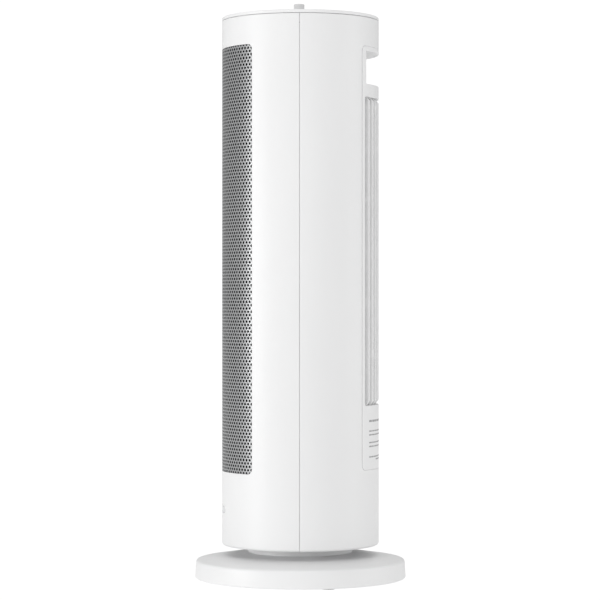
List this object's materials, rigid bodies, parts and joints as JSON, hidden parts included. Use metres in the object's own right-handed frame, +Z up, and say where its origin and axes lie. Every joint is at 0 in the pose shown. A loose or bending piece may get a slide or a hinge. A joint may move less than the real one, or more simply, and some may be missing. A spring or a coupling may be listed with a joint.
{
  "type": "ceramic tower space heater",
  "caption": "Oscillating cylindrical tower heater on a round base, with a curved perforated front outlet, a rear intake louvre with a finger grip, and a rotary knob on top.",
  "frame": {"origin": "centre of the surface it stands on, on the pivot axis", "axes": "+Z up along the pivot axis; -Y is the front, where the warm air leaves; +Y is the rear, with the intake and the finger grip"},
  "size_m": [0.2102, 0.2102, 0.5742],
  "materials": {
    "white_shell": "moulded white ABS, satin, very fine texture",
    "knob_plastic": "moulded white ABS, satin, fluted",
    "grey_plastic": "moulded light grey plastic",
    "black_plastic": "moulded black heat-resistant plastic",
    "impeller_plastic": "moulded dark grey plastic",
    "white_acetal": "unfilled acetal, waxy",
    "rubber": "black rubber",
    "grille_paint": "perforated steel sheet, silver grey paint",
    "lens": "translucent grey window",
    "circuit_board": "green circuit board",
    "motor_steel": "plain pressed steel",
    "zinc_steel": "zinc plated steel sheet",
    "screw_steel": "zinc plated screws",
    "bronze": "sintered bronze bush",
    "ptc_ceramic": "off-white ceramic",
    "fin_aluminium": "corrugated aluminium strip"
  },
  "bodies": {
    "base": {"base_shell": "white_shell", "base_bottom_plate": "grey_plastic", "rubber_feet": "rubber", "base_plate_screws": "screw_steel", "ballast_ring": "zinc_steel", "tip_over_switch": "black_plastic", "cord_gland": "black_plastic", "neck_ring": "white_shell", "pivot_hub": "white_acetal", "pivot_hub_screws": "screw_steel", "thrust_ring": "white_acetal", "fixed_gear": "white_acetal", "pivot_nut": "zinc_steel"},
    "tower": {"tower_floor": "grey_plastic", "floor_screws": "screw_steel", "front_housing": "white_shell", "rear_housing": "white_shell", "top_cover": "white_shell", "front_grille": "grille_paint", "outlet_duct": "black_plastic", "indicator_window": "lens", "indicator_board": "circuit_board", "rear_panel": "white_shell", "intake_louvre": "white_shell", "grip_cup": "white_shell", "lower_bulkhead": "black_plastic", "upper_bulkhead": "black_plastic", "upper_fan_bearing": "bronze", "fan_motor": "motor_steel", "motor_rubber_mounts": "rubber", "motor_screws": "screw_steel", "scroll_wall": "black_plastic", "tongue_wall": "black_plastic", "heater_frame": "black_plastic", "ptc_ceramic_bars": "ptc_ceramic", "heater_fins": "fin_aluminium", "thermal_cutout": "motor_steel", "thermal_fuse": "ptc_ceramic", "power_board": "circuit_board", "oscillation_bracket": "zinc_steel", "oscillation_motor": "motor_steel", "oscillation_motor_screws": "screw_steel", "control_board": "circuit_board", "rotary_switch": "black_plastic"},
    "fan_rotor": {"crossflow_impeller": "impeller_plastic", "fan_drive_shaft": "motor_steel", "fan_stub_shaft": "motor_steel"},
    "knob": {"control_knob": "knob_plastic", "knob_spindle": "white_acetal"},
    "pinion": {"oscillation_pinion": "white_acetal"}
  },
  "joints": [
    {"name": "oscillation", "type": "hinge", "parent": "base", "child": "tower", "pos_m": [0, 0, 0.0374], "axis": [0, 0, 1], "range_deg": [-35, 35]},
    {"name": "fan_spin", "type": "hinge", "parent": "tower", "child": "fan_rotor", "pos_m": [0, 0.006, 0.3], "axis": [0, 0, 1], "continuous": true},
    {"name": "knob_turn", "type": "hinge", "parent": "tower", "child": "knob", "pos_m": [0, -0.0013, 0.56], "axis": [0, 0, 1], "range_deg": [-270, 0]},
    {"name": "pinion_spin", "type": "hinge", "parent": "tower", "child": "pinion", "pos_m": [0.033, 0, 0.05], "axis": [0, 0, 1], "range_deg": [-95, 95]}
  ],
  "couplings": [
    {"joint": "pinion_spin", "follows": "oscillation", "ratio": 2.6667}
  ]
}
